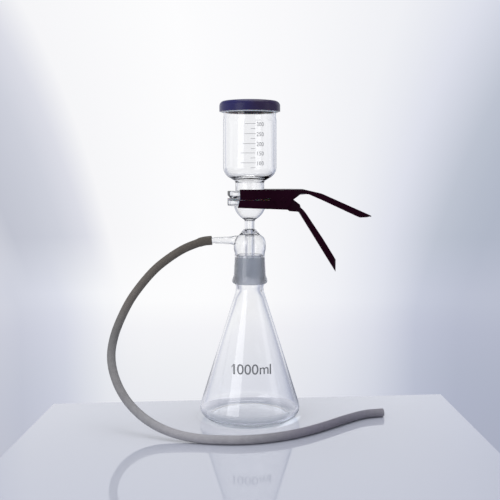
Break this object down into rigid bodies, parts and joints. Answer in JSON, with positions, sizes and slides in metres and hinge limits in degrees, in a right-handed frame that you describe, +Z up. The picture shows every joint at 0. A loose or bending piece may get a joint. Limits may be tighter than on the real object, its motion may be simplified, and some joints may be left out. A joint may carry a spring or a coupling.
{
  "type": "vacuum filtration unit",
  "caption": "Glass vacuum filtration stack: conical flask, filter head with side arm, graduated funnel with cap, fork clamp and hose.",
  "frame": {"origin": "middle of the flask's foot, on the surface it stands on", "axes": "+Z up the axis of the glass stack; -X along the side arm; +X towards the clamp's handles; -Y is the graduated front"},
  "size_m": [0.3629, 0.2024, 0.4203],
  "materials": {
    "flask_glass": "polished",
    "head_glass": "polished",
    "sintered_glass": "matte",
    "membrane": "matte",
    "funnel_glass": "polished",
    "cap_plastic": "satin",
    "clamp_enamel": "satin",
    "pin_steel": "satin",
    "spring_steel": "satin",
    "hose_rubber": "matte"
  },
  "bodies": {
    "apparatus": {"flask": "flask_glass", "filter_head": "head_glass", "frit_disc": "sintered_glass", "membrane_filter": "membrane", "funnel": "funnel_glass", "lid": "cap_plastic", "vacuum_hose": "hose_rubber"},
    "lower_jaw": {"clamp_lower_jaw": "clamp_enamel", "clamp_pin": "pin_steel", "clamp_spring": "spring_steel"},
    "upper_jaw": {"clamp_upper_jaw": "clamp_enamel"}
  },
  "joints": [
    {"name": "lower_jaw_open", "type": "hinge", "parent": "apparatus", "child": "lower_jaw", "pos_m": [0.043, 0, 0.28999], "axis": [0, 1, 0], "range_deg": [-12, 0]},
    {"name": "upper_jaw_open", "type": "hinge", "parent": "lower_jaw", "child": "upper_jaw", "pos_m": [0.043, 0, 0.28999], "axis": [0, 1, 0], "range_deg": [0, 24], "stiffness_Nm_per_rad": 0.5, "springref_deg": -34.38, "deforming": ["clamp_spring"]}
  ],
  "couplings": [
    {"joint": "upper_jaw_open", "follows": "lower_jaw_open", "ratio": -2}
  ]
}
